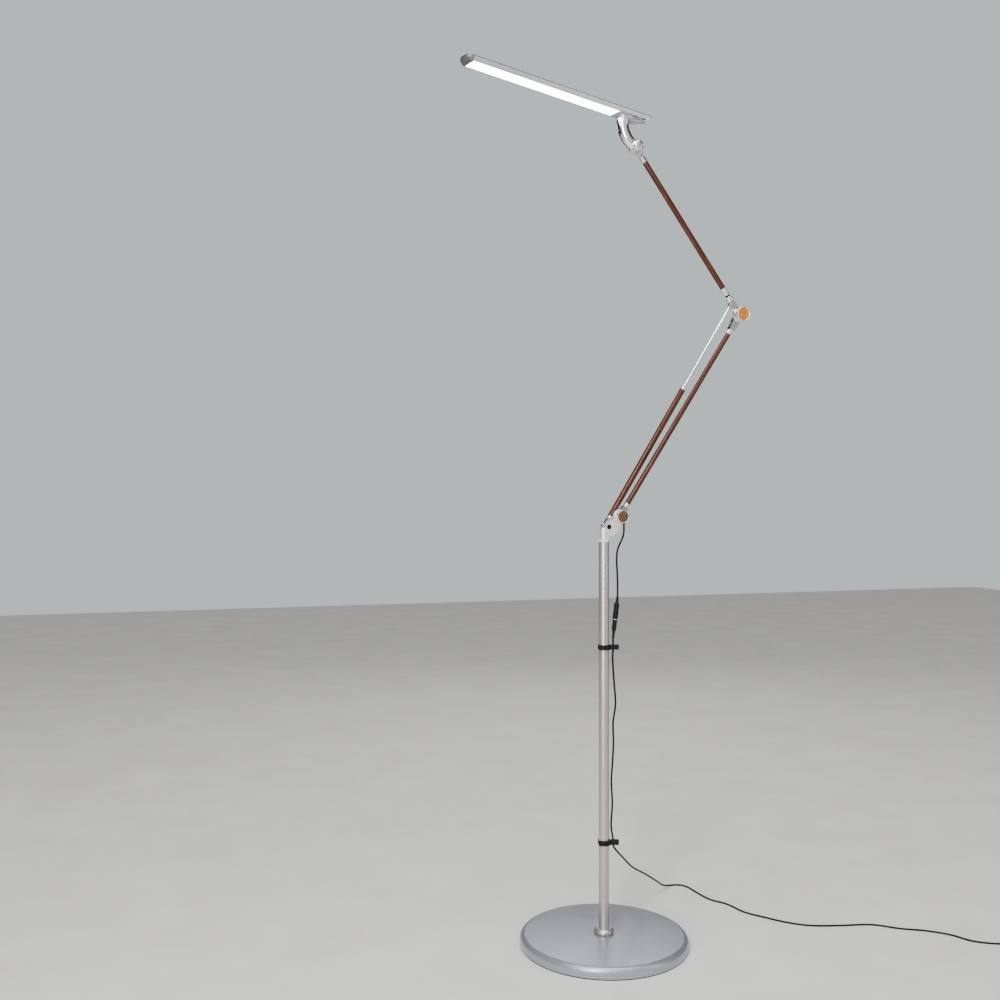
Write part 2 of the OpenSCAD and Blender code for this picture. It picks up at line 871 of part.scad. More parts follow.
// Cuts the underside of the head's arm end to a slope
module rear_slope() {
    plate(-head_w, head_w) polygon([[head_rear - rear_slope_len, bezel_z], [head_rear - rear_slope_len, bezel_z - 1],
        [head_rear + 1, bezel_z - 1], [head_rear + 1, cover_z], [head_rear, cover_z]]);
}

module head_frame() {
    floor_z = bezel_z + frame_wall;
    color(base_colour) at_head() difference() {
        slab(bezel_z, cover_z) between(cap_end, head_rear) head_outline();
        slab(floor_z, cover_z + 1) translate([window_start - 1, -head_w / 2 + frame_wall])
            square([head_rear - window_start - 10, head_w - 2 * frame_wall]);
        rear_slope();
        slab(bezel_z - 1, floor_z + 1) window(0.1);
        rod(bezel_z - 1, floor_z + 1, 5);
        for (x = [power_key_x, brightness_key_x])
            slab(bezel_z - 1, floor_z + 1) translate([x, key_y]) key_outline(0.3);
    }
}

module head_top_cover() {
    color(dark_colour) at_head() slab(cover_z, head_top) between(cap_end, head_rear) head_outline();
}

module head_tip_cap() {
    slope = 4;
    color(dark_colour) at_head() intersection() {
        hull() {
            slab(bezel_z, bezel_z + 0.2) translate([slope, 0]) head_outline();
            slab(bezel_z + slope, head_top) head_outline();
        }
        slab(bezel_z - 1, head_top + 1) between(-head_front - 1, cap_end)
            translate([-head_front - 1, -head_w]) square([head_front, 2 * head_w]);
    }
}

module head_diffuser() {
    color("white") at_head() {
        slab(bezel_z - 0.2, bezel_z + frame_wall) window(0);
        slab(bezel_z + frame_wall, bezel_z + 2.2) window(0.8);
    }
}

module led_board() {
    leds = 28;
    led = 2.8;
    board_z = 9.2;
    margin = 4;
    span = window_end - window_start - 2 * margin - led;
    color("honeydew") at_head() {
        slab(board_z, board_z + 1.6) window(-0.5);
        for (i = [0 : leds - 1])
            translate([window_start + margin + span * i / (leds - 1), -led / 2, board_z - 0.8])
                cube([led, led, 0.8]);
    }
}

// Rounded housing under the arm end of the head, round the swivel
module head_belly() {
    color(base_colour) at_head() difference() {
        hull() {
            slab(bezel_z - 1, bezel_z) tapered_link([0, 0], 11, [34, 0], 10, $fn = 48);
            slab(belly_gap, belly_gap + 1) tapered_link([0, 0], 9, [22, 0], 6, $fn = 48);
        }
        rod(-1, bezel_z + 1, 5);
    }
}

module swivel_stem() {
    color(steel_colour) at_head() ring(-15, bezel_z + 4, 3, 5);
}

module head_key(x) {
    color(dark_colour) at_head() translate([x, key_y]) {
        slab(bezel_z - 0.7, bezel_z + frame_wall + 0.1) key_outline(0);
        slab(bezel_z + frame_wall + 0.1, bezel_z + frame_wall + 0.9) square([5.2, 2.8], center = true);
    }
}

module power_key() {
    head_key(power_key_x);
}

module brightness_key() {
    head_key(brightness_key_x);
}

base_cover();
base_weight();
base_pad();
pole_stud();
pole_nut();
pole_washer();
pole_collar();
pole_tube();
pole_top_bush();
upper_cable_clip();
lower_cable_clip();
upper_lead();
lead_socket();
lead_plug();
lower_lead();
lead_coil();
power_adapter();
adapter_pins();
bracket_casting();
bracket_spigot();
strut_foot_screw();
lead_gland();
lower_arm_tube();
lower_arm_bottom_fork();
lower_arm_top_fork();
lower_pivot_bolt();
lower_pivot_washers();
elbow_bolt();
elbow_washers();
lower_arm_lead();
lower_knob();
lower_knob_inlay();
elbow_knob();
elbow_knob_inlay();
neck_knob();
elbow_casting();
upper_arm_ferrule();
upper_arm_tube();
upper_arm_tongue();
upper_arm_lead();
strut_pin();
strut_rod();
strut_guide_ring();
strut_tube();
strut_cap();
strut_foot();
strut_spring();
neck_casting();
neck_bolt();
neck_collar();
head_frame();
head_top_cover();
head_tip_cap();
head_diffuser();
led_board();
head_belly();
swivel_stem();
power_key();
brightness_key();
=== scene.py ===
"""Looks of the adjustable arm floor lamp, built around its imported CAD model.

Outlines and routes are in millimetres, and MM turns a length in millimetres into metres.
"""

import json
from math import cos, pi, radians, sin, tan

import bmesh
import bpy
from mathutils import Matrix, Vector


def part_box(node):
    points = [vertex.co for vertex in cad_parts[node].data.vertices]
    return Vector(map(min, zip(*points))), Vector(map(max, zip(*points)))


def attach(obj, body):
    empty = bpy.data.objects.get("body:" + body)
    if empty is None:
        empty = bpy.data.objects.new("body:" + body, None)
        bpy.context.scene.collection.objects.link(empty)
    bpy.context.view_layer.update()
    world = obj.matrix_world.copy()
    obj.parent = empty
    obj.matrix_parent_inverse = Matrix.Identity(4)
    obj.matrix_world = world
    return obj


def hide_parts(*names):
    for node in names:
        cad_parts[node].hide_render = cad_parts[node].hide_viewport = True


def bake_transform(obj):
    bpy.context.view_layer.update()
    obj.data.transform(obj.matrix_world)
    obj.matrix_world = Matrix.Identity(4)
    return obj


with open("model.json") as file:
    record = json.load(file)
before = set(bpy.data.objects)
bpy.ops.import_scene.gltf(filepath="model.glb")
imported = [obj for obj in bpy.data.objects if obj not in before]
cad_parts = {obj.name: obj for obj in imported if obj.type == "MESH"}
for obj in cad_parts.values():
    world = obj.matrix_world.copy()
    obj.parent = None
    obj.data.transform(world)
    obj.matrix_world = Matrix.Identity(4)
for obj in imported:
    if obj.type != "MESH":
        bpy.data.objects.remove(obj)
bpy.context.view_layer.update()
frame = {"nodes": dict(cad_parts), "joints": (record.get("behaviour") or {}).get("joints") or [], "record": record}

MM = 0.001
ARMS_YAW = radians(18)  # turn of the arms' plane from the camera's view
HEAD_TURN = radians(13)  # turn of the head about its swivel axis
ALONG_Y = Matrix.Rotation(-pi / 2, 4, "X")


# ---- Places, from the frame ----

JOINTS = {joint["name"]: joint for joint in frame["joints"]}
BODY_OF = {node: body for body, nodes in frame["record"]["behaviour"]["bodies"].items() for node in nodes}
SLOT_OF = {part["node"]: part["material_slot"] for part in frame["record"]["subparts"]}
# Pieces that look unlike their slot
SLOT_OF |= {"strut_foot_screw": "black_plastic", "pole_collar": "pole_paint", "pole_washer": "pole_paint"}


def pivot(joint):
    """Place of a joint, in metres."""
    return Vector(JOINTS[joint]["pos_m"])


def middle(node):
    low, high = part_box(node)
    return (low + high) / 2


def looking(origin, z_axis, across=Vector((0, 1, 0))):
    """Matrix with its origin at a point and its Z along an axis; its Y is as near to across as it can be."""
    z_axis = z_axis.normalized()
    x_axis = across.cross(z_axis).normalized()
    y_axis = z_axis.cross(x_axis)
    return Matrix.Translation(origin) @ Matrix((x_axis, y_axis, z_axis)).transposed().to_4x4()


SHOULDER = pivot("lower_arm_tilt")
ELBOW = pivot("elbow_tilt")
NECK = pivot("neck_tilt")
NECK_TOP = pivot("head_swivel")

LOWER_ARM = looking(SHOULDER, ELBOW - SHOULDER)
UPPER_ARM = looking(ELBOW, NECK - ELBOW)
UPPER_ARM_END = looking(NECK, ELBOW - NECK)
STRUT = looking(pivot("strut_foot_turn"), Vector(JOINTS["strut_rod_slide"]["axis"]))
HEAD = looking(NECK_TOP, Vector(JOINTS["head_swivel"]["axis"])) @ Matrix.Rotation(HEAD_TURN, 4, "Z")


# ---- Materials ----

def new_material(name, color, metallic=0.0, roughness=0.4, **sockets):
    """Material with a Principled shader; further sockets are given by name with _ for spaces."""
    material = bpy.data.materials.new(name)
    material.use_nodes = True
    shader = material.node_tree.nodes["Principled BSDF"]
    shader.inputs["Base Color"].default_value = (*color, 1)
    shader.inputs["Metallic"].default_value = metallic
    shader.inputs["Roughness"].default_value = roughness
    for socket, value in sockets.items():
        shader.inputs[socket.replace("_", " ")].default_value = value
    return material


def add_node(material, kind, **values):
    node = material.node_tree.nodes.new(kind)
    for key, value in values.items():
        if key in node.inputs:
            node.inputs[key].default_value = value
        else:
            setattr(node, key, value)
    return node


def wire(material, source, target):
    material.node_tree.links.new(source, target)


def shader_of(material):
    return material.node_tree.nodes["Principled BSDF"]


def noise(material, scale, detail=4.0, stretch=(1, 1, 1)):
    """Noise in object coordinates; scale is in cycles per metre, and stretch divides it along each axis."""
    place = add_node(material, "ShaderNodeTexCoord")
    mapping = add_node(material, "ShaderNodeMapping")
    mapping.inputs["Scale"].default_value = [scale / s for s in stretch]
    field = add_node(material, "ShaderNodeTexNoise", Scale=1.0, Detail=detail, Roughness=0.6)
    wire(material, place.outputs["Object"], mapping.inputs["Vector"])
    wire(material, mapping.outputs["Vector"], field.inputs["Vector"])
    return field.outputs["Fac"]


def color_by(material, fac, *stops):
    """Base colour from a ramp; each stop is (place, color)."""
    ramp = add_node(material, "ShaderNodeValToRGB")
    elements = ramp.color_ramp.elements
    while len(elements) < len(stops):
        elements.new(0.5)
    for element, (place, color) in zip(elements, stops):
        element.position = place
        element.color = (*color, 1)
    wire(material, fac, ramp.inputs["Fac"])
    wire(material, ramp.outputs["Color"], shader_of(material).inputs["Base Color"])


def roughness_by(material, fac, low, high):
    spread = add_node(material, "ShaderNodeMapRange")
    spread.inputs["From Min"].default_value = 0.3
    spread.inputs["From Max"].default_value = 0.7
    spread.inputs["To Min"].default_value = low
    spread.inputs["To Max"].default_value = high
    wire(material, fac, spread.inputs["Value"])
    wire(material, spread.outputs["Result"], shader_of(material).inputs["Roughness"])


def bump_by(material, fac, strength, distance):
    """Bump of a height in metres, by a field."""
    bump = add_node(material, "ShaderNodeBump", Strength=strength, Distance=distance)
    wire(material, fac, bump.inputs["Height"])
    wire(material, bump.outputs["Normal"], shader_of(material).inputs["Normal"])


def shade(color, factor):
    return tuple(min(1, c * factor) for c in color)


def powder_paint(name, color, metallic, roughness):
    """Satin paint with metal flakes: fine grain, faint mottling."""
    material = new_material(name, color, metallic, roughness, Coat_Weight=0.15, Coat_Roughness=0.3)
    color_by(material, noise(material, 900, 5), (0.3, shade(color, 0.84)), (0.7, shade(color, 1.12)))
    roughness_by(material, noise(material, 35), roughness - 0.05, roughness + 0.07)
    bump_by(material, noise(material, 1400, 3), 0.25, 0.00008)
    return material


def polished_metal(name, color, roughness):
    """Plated or polished metal with faint handling haze and fine scratches."""
    material = new_material(name, color, 1.0, roughness)
    color_by(material, noise(material, 40), (0.35, shade(color, 0.93)), (0.65, color))
    roughness_by(material, noise(material, 60, 6), roughness * 0.85, roughness * 1.3)
    bump_by(material, noise(material, 300, 4), 0.04, 0.00003)
    return material


def turned_metal(name, color, metallic, roughness):
    """Face turned on a lathe: rings round the object's Z, worn a little lighter here and there."""
    material = new_material(name, color, metallic, roughness)
    place = add_node(material, "ShaderNodeTexCoord")
    rings = add_node(material, "ShaderNodeTexWave", Scale=900.0, Distortion=1.5, Detail=3.0)
    rings.wave_type = "RINGS"
    rings.rings_direction = "Z"
    wire(material, place.outputs["Object"], rings.inputs["Vector"])
    color_by(material, noise(material, 250, 5), (0.3, shade(color, 0.8)), (0.7, shade(color, 1.2)))
    roughness_by(material, rings.outputs["Fac"], roughness * 0.8, roughness * 1.3)
    bump_by(material, rings.outputs["Fac"], 0.3, 0.00004)
    return material


def moulded(name, color, roughness, grain):
    """Moulded plastic or rubber with a fine spark texture."""
    material = new_material(name, color, 0.0, roughness, Specular_IOR_Level=0.12)
    color_by(material, noise(material, 180), (0.3, shade(color, 0.75)), (0.7, shade(color, 1.35)))
    roughness_by(material, noise(material, 90), roughness - 0.06, roughness + 0.08)
    bump_by(material, noise(material, grain, 2), 0.3, 0.00006)
    return material


def walnut_finish():
    """Gloss wood-look finish of the arm tubes, with the grain along the object's Z."""
    material = new_material("brown_finish", (0.1, 0.03, 0.015), 0.0, 0.32, Specular_IOR_Level=0.2,
                            Coat_Weight=0.15, Coat_Roughness=0.14)
    dark, middling, light = (0.014, 0.003, 0.001), (0.048, 0.011, 0.004), (0.095, 0.026, 0.009)
    grain = noise(material, 420, 6, stretch=(1, 1, 26))
    color_by(material, grain, (0.3, dark), (0.5, middling), (0.7, light))
    roughness_by(material, noise(material, 60, 3, stretch=(1, 1, 10)), 0.26, 0.34)
    bump_by(material, grain, 0.05, 0.00005)
    return material


def lit_diffuser():
    """Milky cover lit from behind: cool white, its glow a little stronger in random patches."""
    material = new_material("diffuser_white", (0.95, 0.96, 1.0), 0.0, 0.5)
    shader = shader_of(material)
    shader.inputs["Emission Color"].default_value = (0.90, 0.93, 1.0, 1)
    glow = add_node(material, "ShaderNodeMapRange")
    glow.inputs["To Min"].default_value = 12
    glow.inputs["To Max"].default_value = 15
    wire(material, noise(material, 60, 1), glow.inputs["Value"])
    wire(material, glow.outputs["Result"], shader.inputs["Emission Strength"])
    return material


MATERIALS = {
    "base_paint": powder_paint("base_paint", (0.30, 0.31, 0.35), 0.6, 0.33),
    "weight_iron": powder_paint("weight_iron", (0.05, 0.05, 0.055), 0.6, 0.65),
    "pad_rubber": moulded("pad_rubber", (0.02, 0.02, 0.02), 0.8, 900),
    "pole_paint": powder_paint("pole_paint", (0.42, 0.39, 0.38), 0.75, 0.33),
    "chrome": polished_metal("chrome", (0.92, 0.89, 0.90), 0.16),
    "satin_casting": powder_paint("satin_casting", (0.80, 0.72, 0.71), 0.6, 0.30),
    "steel": polished_metal("steel", (0.50, 0.50, 0.52), 0.28),
    "bush_nylon": moulded("bush_nylon", (0.66, 0.63, 0.56), 0.45, 700),
    "brown_finish": walnut_finish(),
    "bronze_face": turned_metal("bronze_face", (0.115, 0.068, 0.038), 0.6, 0.38),
    "copper_face": turned_metal("copper_face", (0.60, 0.22, 0.03), 0.8, 0.36),
    "black_plastic": moulded("black_plastic", (0.005, 0.005, 0.006), 0.5, 1100),
    "lead_rubber": moulded("lead_rubber", (0.004, 0.004, 0.005), 0.55, 800),
    "head_silver": powder_paint("head_silver", (0.50, 0.49, 0.54), 0.65, 0.34),
    "head_dark": powder_paint("head_dark", (0.10, 0.105, 0.105), 0.4, 0.34),
    "diffuser_white": lit_diffuser(),
    "led_board_white": moulded("led_board_white", (0.80, 0.84, 0.80), 0.5, 600),
}


# ---- Mesh tools ----

def link_object(name, data, matrix=None):
    obj = bpy.data.objects.new(name, data)
    bpy.context.scene.collection.objects.link(obj)
    if matrix is not None:
        obj.matrix_world = matrix
    return obj


def smooth_mesh(mesh, angle=radians(32)):
    mesh.shade_smooth()
    mesh.set_sharp_from_angle(angle=angle)
    return mesh


def mesh_from(name, points, faces):
    mesh = bpy.data.meshes.new(name)
    mesh.from_pydata([tuple(p) for p in points], [], faces)
    tool = bmesh.new()
    tool.from_mesh(mesh)
    bmesh.ops.remove_doubles(tool, verts=tool.verts, dist=1e-7)
    bmesh.ops.recalc_face_normals(tool, faces=tool.faces)
    tool.to_mesh(mesh)
    tool.free()
    return smooth_mesh(mesh)


def rounded(corners, steps=5):
    """Outline with rounded corners, in metres; each corner is (u, v) or (u, v, radius) in mm."""
    outline = []
    count = len(corners)
    for i, corner in enumerate(corners):
        here = Vector(corner[:2]) * MM
        radius = corner[2] * MM if len(corner) > 2 else 0
        before = (Vector(corners[i - 1][:2]) * MM - here)
        after = (Vector(corners[(i + 1) % count][:2]) * MM - here)
        if not radius:
            outline.append(here)
            continue
        half = before.angle(after) / 2
        reach = radius / tan(half)
        centre = here + (before.normalized() + after.normalized()).normalized() * (radius / sin(half))
        start = here + before.normalized() * reach - centre
        sweep = start.angle_signed(here + after.normalized() * reach - centre)
        for k in range(steps + 1):
            turn = Matrix.Rotation(-sweep * k / steps, 2)
            outline.append(centre + turn @ start)
    return outline


def lathe(name, corners, segments=96, steps=5):
    """Solid turned round Z from a closed outline of (radius, height) corners in mm."""
    outline = rounded(corners, steps)
    points = []
    for k in range(segments):
        angle = 2 * pi * k / segments
        points += [Vector((p.x * cos(angle), p.x * sin(angle), p.y)) for p in outline]
    count = len(outline)
    faces = []
    for k in range(segments):
        here, there = k * count, (k + 1) % segments * count
        for i in range(count):
            j = (i + 1) % count
            if outline[i].x > 1e-9 or outline[j].x > 1e-9:
                faces.append((here + i, here + j, there + j, there + i))
    return mesh_from(name, points, faces)


def smooth_route(route, steps):
    """Points of a smooth curve through the route's points, with steps points on each stretch."""
    points = []
    for i in range(len(route) - 1):
        a, b, c, d = (route[max(i - 1, 0)], route[i], route[i + 1], route[min(i + 2, len(route) - 1)])
        slope, sag, twist = c - a, 2 * a - 5 * b + 4 * c - d, 3 * b - 3 * c + d - a
        for k in range(steps):
            t = k / steps
            points.append(0.5 * (2 * b + slope * t + sag * t ** 2 + twist * t ** 3))
    points.append(route[-1])
    return points


def tube(name, path, radius, sides=12):
    """Round tube along a path of points, with closed ends, that doesn't twist."""
    points, faces = [], []
    side = Vector((0, 1, 0))
    for i, place in enumerate(path):
        heading = (path[min(i + 1, len(path) - 1)] - path[max(i - 1, 0)]).normalized()
        side = (side - heading * side.dot(heading)).normalized()
        other = heading.cross(side)
        for k in range(sides):
            angle = 2 * pi * k / sides
            points.append(place + radius * (cos(angle) * side + sin(angle) * other))
    for i in range(len(path) - 1):
        for k in range(sides):
            a, b = i * sides + k, i * sides + (k + 1) % sides
            faces.append((a, b, b + sides, a + sides))
    faces.append(tuple(range(sides)))
    faces.append(tuple(range(len(points) - sides, len(points))))
    return mesh_from(name, points, faces)


def finish_piece(obj, slot, nodes=(), body=None):
    """Gives a piece its material and body, and lets it stand for CAD nodes."""
    obj.data.materials.clear()
    obj.data.materials.append(MATERIALS[slot])
    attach(obj, body or BODY_OF[nodes[0]])
    if nodes:
        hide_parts(*nodes)
    return obj


def turned(node, corners, matrix=None, slot=None, **options):
    """Turned piece that stands for a CAD node."""
    mesh = lathe("fine_" + node, corners, **options)
    return finish_piece(link_object("fine_" + node, mesh, matrix), slot or SLOT_OF[node], [node])


def refined(node, edge, segments=3):
    """Copy of a CAD node's mesh with its hard edges rounded by edge mm, which stands for the node."""
    mesh = frame["nodes"][node].data.copy()
    mesh.name = "fine_" + node
    tool = bmesh.new()
    tool.from_mesh(mesh)
    bmesh.ops.remove_doubles(tool, verts=tool.verts, dist=2e-6)
    bmesh.ops.dissolve_limit(tool, angle_limit=radians(0.5), verts=tool.verts, edges=tool.edges)
    tool.to_mesh(mesh)
    tool.free()
    obj = link_object("fine_" + node, mesh)
    smooth_mesh(mesh)
    bevel = obj.modifiers.new("edges", "BEVEL")
    bevel.width = edge * MM
    bevel.segments = segments
    bevel.limit_method = "ANGLE"
    bevel.angle_limit = radians(35)
    bevel.harden_normals = True
    return finish_piece(obj, SLOT_OF[node], [node])


def added(name, mesh, matrix, slot, body):
    """Small visible piece that has no CAD node of its own."""
    return finish_piece(link_object(name, mesh, matrix), slot, body=body)


# ---- Stand ----

def node_size(node):
    low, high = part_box(node)
    return (high - low) / MM


def build_base():
    low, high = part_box("base_cover")
    r, z0, z1 = high.x / MM, low.z / MM, high.z / MM
    hole, wall = 5.5, 1.5
    turned("base_cover", [
        (hole, z1), (r - 0.2, z1, 9), (r, z0 + 7, 6), (r - 1, z0), (r - 1 - wall, z0),
        (r - 1 - wall, z1 - wall, 6), (hole, z1 - wall)], segments=160, steps=9)


def build_pole():
    low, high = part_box("pole_tube")
    r, z0, z1 = high.x / MM, low.z / MM, high.z / MM
    wall = 1.5
    turned("pole_tube", [(r - wall, z0), (r - wall, z1), (r, z1, 0.5), (r, z0)])
    low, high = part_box("pole_collar")
    collar_r, c0, c1 = high.x / MM, low.z / MM, high.z / MM
    turned("pole_collar", [(r, c0), (r, c1, 0.4), (collar_r - 4, c1, 1), (collar_r, c1 - 3.4, 3),
                           (collar_r, c0 + 1.4, 1.4), (collar_r - 2, c0)])


# ---- Lead ----

LEAD_R = 1.6 * MM


def route(*points):
    return [Vector(p) * MM for p in points]


FLOOR_Z = 1.6
UPPER_ROUTE = route(
    (36.5, 0, 699.2), (36.5, 0, 694), (36, -1, 688), (34.5, -2, 682), (31.5, -3, 675), (28, -4, 669),
    (24.5, -5, 663), (22, -5.6, 656), (20.8, -6, 648), (20.4, -6.4, 640), (20.6, -6.7, 631), (21.2, -7, 621),
    (21.6, -7, 611), (21.8, -7, 600), (21.8, -7, 590), (21.8, -7, 580))
LOWER_ROUTE = route(
    (14.4, -4.8, 510), (14.6, -4.75, 501), (14.6, -4.75, 491), (14, -4.6, 475), (16, -5.2, 440),
    (18.5, -6, 402), (14.6, -4.8, 370), (15.3, -5, 338), (13.5, -4.4, 300), (11.8, -4, 272),
    (13.5, -4.4, 235), (11.4, -3.9, 200), (14.6, -4.75, 176), (14.6, -4.75, 166), (24, 3, 154),
    (46, 24, 133), (80, 60, 102), (132, 118, 66), (176, 165, 34), (206, 196, 12), (230, 215, 2.6),
    (248, 214, FLOOR_Z), (259, 199, FLOOR_Z), (262, 165, FLOOR_Z), (268, 127, FLOOR_Z), (286, 96, FLOOR_Z),
    (296, 52, FLOOR_Z), (318, 18, FLOOR_Z), (344, -16, FLOOR_Z), (376, -40, FLOOR_Z), (424, -55, FLOOR_Z),
    (476, -68, FLOOR_Z), (512, -98, FLOOR_Z), (548, -120, FLOOR_Z), (576, -148, FLOOR_Z),
    (592, -180, FLOOR_Z), (620, -201, FLOOR_Z), (650, -209, FLOOR_Z), (681, -212, FLOOR_Z))
TAIL_ROUTE = route((709.6, -243, 4.6), (709.6, -248, 4.8), (709.6, -253, 5))
COIL_OUT = 19.6 * MM
COIL_IN = 16.4 * MM
COIL_LOW = 1.6 * MM
COIL_HIGH = 4.8 * MM
# Laps of the coil: angle in degrees, radius and height at each change
COIL_LAPS = [(90, COIL_OUT, COIL_LOW), (-210, COIL_OUT, COIL_LOW), (-270, COIL_IN, COIL_LOW),
             (-480, COIL_IN, COIL_LOW), (-570, COIL_IN, COIL_HIGH), (-780, COIL_IN, COIL_HIGH),
             (-840, COIL_OUT, COIL_HIGH), (-1080, COIL_OUT, COIL_HIGH)]


def coil_points(step=10):
    """The coil's turns, wound clockwise from its top, in two rings of two layers."""
    centre = middle("lead_coil")
    points = []
    for (a0, r0, z0), (a1, r1, z1) in zip(COIL_LAPS, COIL_LAPS[1:]):
        for degrees in range(a0, a1, -step):
            t = (a0 - degrees) / (a0 - a1)
            ease = t * t * (3 - 2 * t)
            r, z = r0 + (r1 - r0) * ease, z0 + (z1 - z0) * ease
            angle = radians(degrees)
            points.append(Vector((centre.x + r * cos(angle), centre.y + r * sin(angle), z)))
    points.append(Vector((centre.x + COIL_OUT, centre.y, COIL_HIGH)))
    return points


def build_connector():
    """In-line plug and socket between the lamp's lead and the adapter's lead."""
    along = UPPER_ROUTE[-1] - LOWER_ROUTE[0]
    place = looking(LOWER_ROUTE[0], along)
    length = along.length / MM
    plug_sleeve = [(1.9, 0), (2.1, 3), (1.9, 3.4), (1.9, 4.2), (2.3, 4.6), (2.3, 7), (2.0, 7.4), (2.0, 8.2),
                   (2.5, 8.6), (2.5, 11), (2.2, 11.4), (2.2, 12.4), (2.6, 13), (3.2, 14)]
    plug_body = [(3.75, 15, 0.6), (3.75, 31.9, 0.6), (2.75, 32), (2.75, 43), (0, 43)]
    plug = turned("lead_plug", [(0, 0)] + plug_sleeve + plug_body, place, slot="black_plastic", steps=3,
                  segments=48)
    socket_body = [(2.8, 33), (4.4, 33, 0.7), (4.4, 47, 0.3), (4.05, 47.6), (4.05, 49.4), (4.4, 50, 0.3),
                   (4.4, 58.6, 1)]
    socket_sleeve = [(3, 59.6), (2.7, 61), (2.3, 61.4), (2.3, 62.4), (2.6, 62.8), (2.4, 65), (2.05, 65.4),
                     (2.05, 66.4), (2.3, 66.8), (2.1, 69), (1.9, length)]
    bore = [(0, length), (0, 45), (2.8, 45)]
    socket = turned("lead_socket", socket_body + socket_sleeve + bore, place, steps=3, segments=48)
    ring = lathe("plug_barrel", [(2.7, 31.8), (2.85, 31.8), (2.85, 33.2), (2.7, 33.2)])
    barrel = added("plug_barrel", ring, place, "chrome", BODY_OF["lead_plug"])
    return plug, socket, barrel


def build_tie():
    """Strap that holds the coil's turns together."""
    centre = middle("lead_coil")
    outer = rounded([(-3.7, 0.05, 1.5), (3.7, 0.05, 1.5), (3.7, 6.9, 1.5), (-3.7, 6.9, 1.5)])
    inner = rounded([(-3.2, 0.5, 1.3), (3.2, 0.5, 1.3), (3.2, 6.4, 1.3), (-3.2, 6.4, 1.3)])
    half = 3.5 * MM
    count = len(outer)
    points = [Vector((p.x, side, p.y)) for side in (-half, half) for p in outer + inner]
    far = 2 * count  # the far side's points follow the near side's
    faces = []
    for i in range(count):
        j = (i + 1) % count
        faces += [(i, j, j + far, i + far), (count + i, count + j, count + j + far, count + i + far),
                  (i, j, count + j, count + i), (i + far, j + far, count + j + far, count + i + far)]
    place = Matrix.Translation((centre.x - (COIL_OUT + COIL_IN) / 2, centre.y, 0))
    return added("coil_tie", mesh_from("coil_tie", points, faces), place, "black_plastic", "stand")


def build_leads():
    plug, socket, barrel = build_connector()
    tie = build_tie()
    upper_path = smooth_route(UPPER_ROUTE, 6)
    upper = link_object("fine_upper_lead", tube("fine_upper_lead", upper_path, LEAD_R))
    upper.data.materials.append(MATERIALS["lead_rubber"])
    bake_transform(upper)
    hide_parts("upper_lead")

    lower_path = smooth_route(LOWER_ROUTE, 6)[:-1] + coil_points() + smooth_route(TAIL_ROUTE, 4)
    lower = link_object("fine_lower_lead", tube("fine_lower_lead", lower_path, LEAD_R))
    finish_piece(lower, "lead_rubber", ["lower_lead", "lead_coil"])


# ---- Arms ----

# Heights along each arm from its lower pivot, and how far short of its upper pivot each tube stops
LOWER_TUBE_START = 25
LOWER_TUBE_SHORT = 41
FERRULE_START = 41
FERRULE_END = 55
UPPER_TUBE_SHORT = 29.6
STRUT_TUBE_START = 19.5
STRUT_TUBE_END = 275
TUBE_WALL = 1


def round_tube(node, place, outer_r, start, end, rounding=0.4):
    """Tube between two heights along its place; its upper edge may be less rounded than its lower one."""
    inner_r = outer_r - TUBE_WALL
    turned(node, [(inner_r, start), (outer_r, start, 0.4), (outer_r, end, rounding), (inner_r, end)], place)


def build_tubes():
    """Arm tubes, ferrule and strut tube."""
    lower_len = (ELBOW - SHOULDER).length / MM
    upper_len = (NECK - ELBOW).length / MM
    round_tube("lower_arm_tube", LOWER_ARM, 4.5, LOWER_TUBE_START, lower_len - LOWER_TUBE_SHORT)
    round_tube("upper_arm_tube", UPPER_ARM, 4.75, FERRULE_END, upper_len - UPPER_TUBE_SHORT)
    turned("upper_arm_ferrule", [(3.75, FERRULE_START), (4.4, FERRULE_START, 0.3), (4.4, FERRULE_END, 0.2),
                                 (3.75, FERRULE_END)], UPPER_ARM)
    round_tube("strut_tube", STRUT, 5, STRUT_TUBE_START, STRUT_TUBE_END, rounding=0.2)


BOLT_BORE = 3.06  # radius of the hole that a knob's bolt fills


def build_knob(node, inlay, matrix):
    """Friction knob: a lipped rim round a domed face, with a shallow waist at its back."""
    r = node_size(node).z / 2
    back, front = 7.4, 15
    face = front - 1.1  # where the inlay lies
    turned(node, [(BOLT_BORE, back), (r - 2.4, back, 0.5), (r - 1.4, back + 2, 0.8), (r, back + 3, 0.8),
                  (r, front - 0.1, 0.7), (r - 1.4, front, 0.5), (r - 1.6, face), (0, face), (0, 13.4),
                  (BOLT_BORE, 13.4)], matrix)
    turned(inlay, [(0, face), (r - 1.6, face), (r - 1.6, front - 0.3, 0.4), (r - 5, front + 0.1, 6),
                   (0, front + 0.2)], matrix, steps=6)


def build_knobs():
    towards_camera = Matrix.Rotation(pi, 4, "X") @ ALONG_Y
    build_knob("lower_knob", "lower_knob_inlay", Matrix.Translation(SHOULDER) @ towards_camera)
    build_knob("elbow_knob", "elbow_knob_inlay", Matrix.Translation(ELBOW) @ towards_camera)
    dome = [(BOLT_BORE, 9.3), (7.6, 9.3, 0.4), (8.9, 10.2, 0.6), (8.9, 12.6, 0.8), (6.4, 15.9, 3.5),
            (0, 16.7), (0, 14.3), (BOLT_BORE, 14.3)]
    turned("neck_knob", dome, Matrix.Translation(NECK) @ towards_camera, steps=8)


